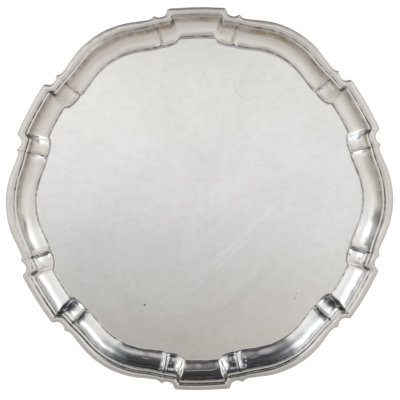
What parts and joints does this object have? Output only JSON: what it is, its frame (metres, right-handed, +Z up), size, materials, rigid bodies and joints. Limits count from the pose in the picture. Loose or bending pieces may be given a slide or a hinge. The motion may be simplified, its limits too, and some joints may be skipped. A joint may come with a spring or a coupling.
{
  "type": "silver salver",
  "caption": "Round silver salver for serving, with a flat satin well inside a raised border of curved lobes and stepped tabs, on small cast feet.",
  "frame": {"origin": "on the supporting surface under the centre of the well", "axes": "+Z up, out of the well; +Y through the middle of a tab; +X through the middle of a lobe"},
  "size_m": [0.305, 0.3028, 0.0261],
  "materials": {
    "border_silver": "polished",
    "well_silver": "satin",
    "foot_silver": "polished"
  },
  "bodies": {
    "root": {"lobe_border_1": "border_silver", "lobe_border_2": "border_silver", "lobe_border_3": "border_silver", "lobe_border_4": "border_silver", "lobe_border_5": "border_silver", "lobe_border_6": "border_silver", "tab_border_1": "border_silver", "tab_border_2": "border_silver", "tab_border_3": "border_silver", "tab_border_4": "border_silver", "tab_border_5": "border_silver", "tab_border_6": "border_silver", "well_plate": "well_silver", "foot_1": "foot_silver", "foot_2": "foot_silver", "foot_3": "foot_silver"}
  },
  "joints": []
}
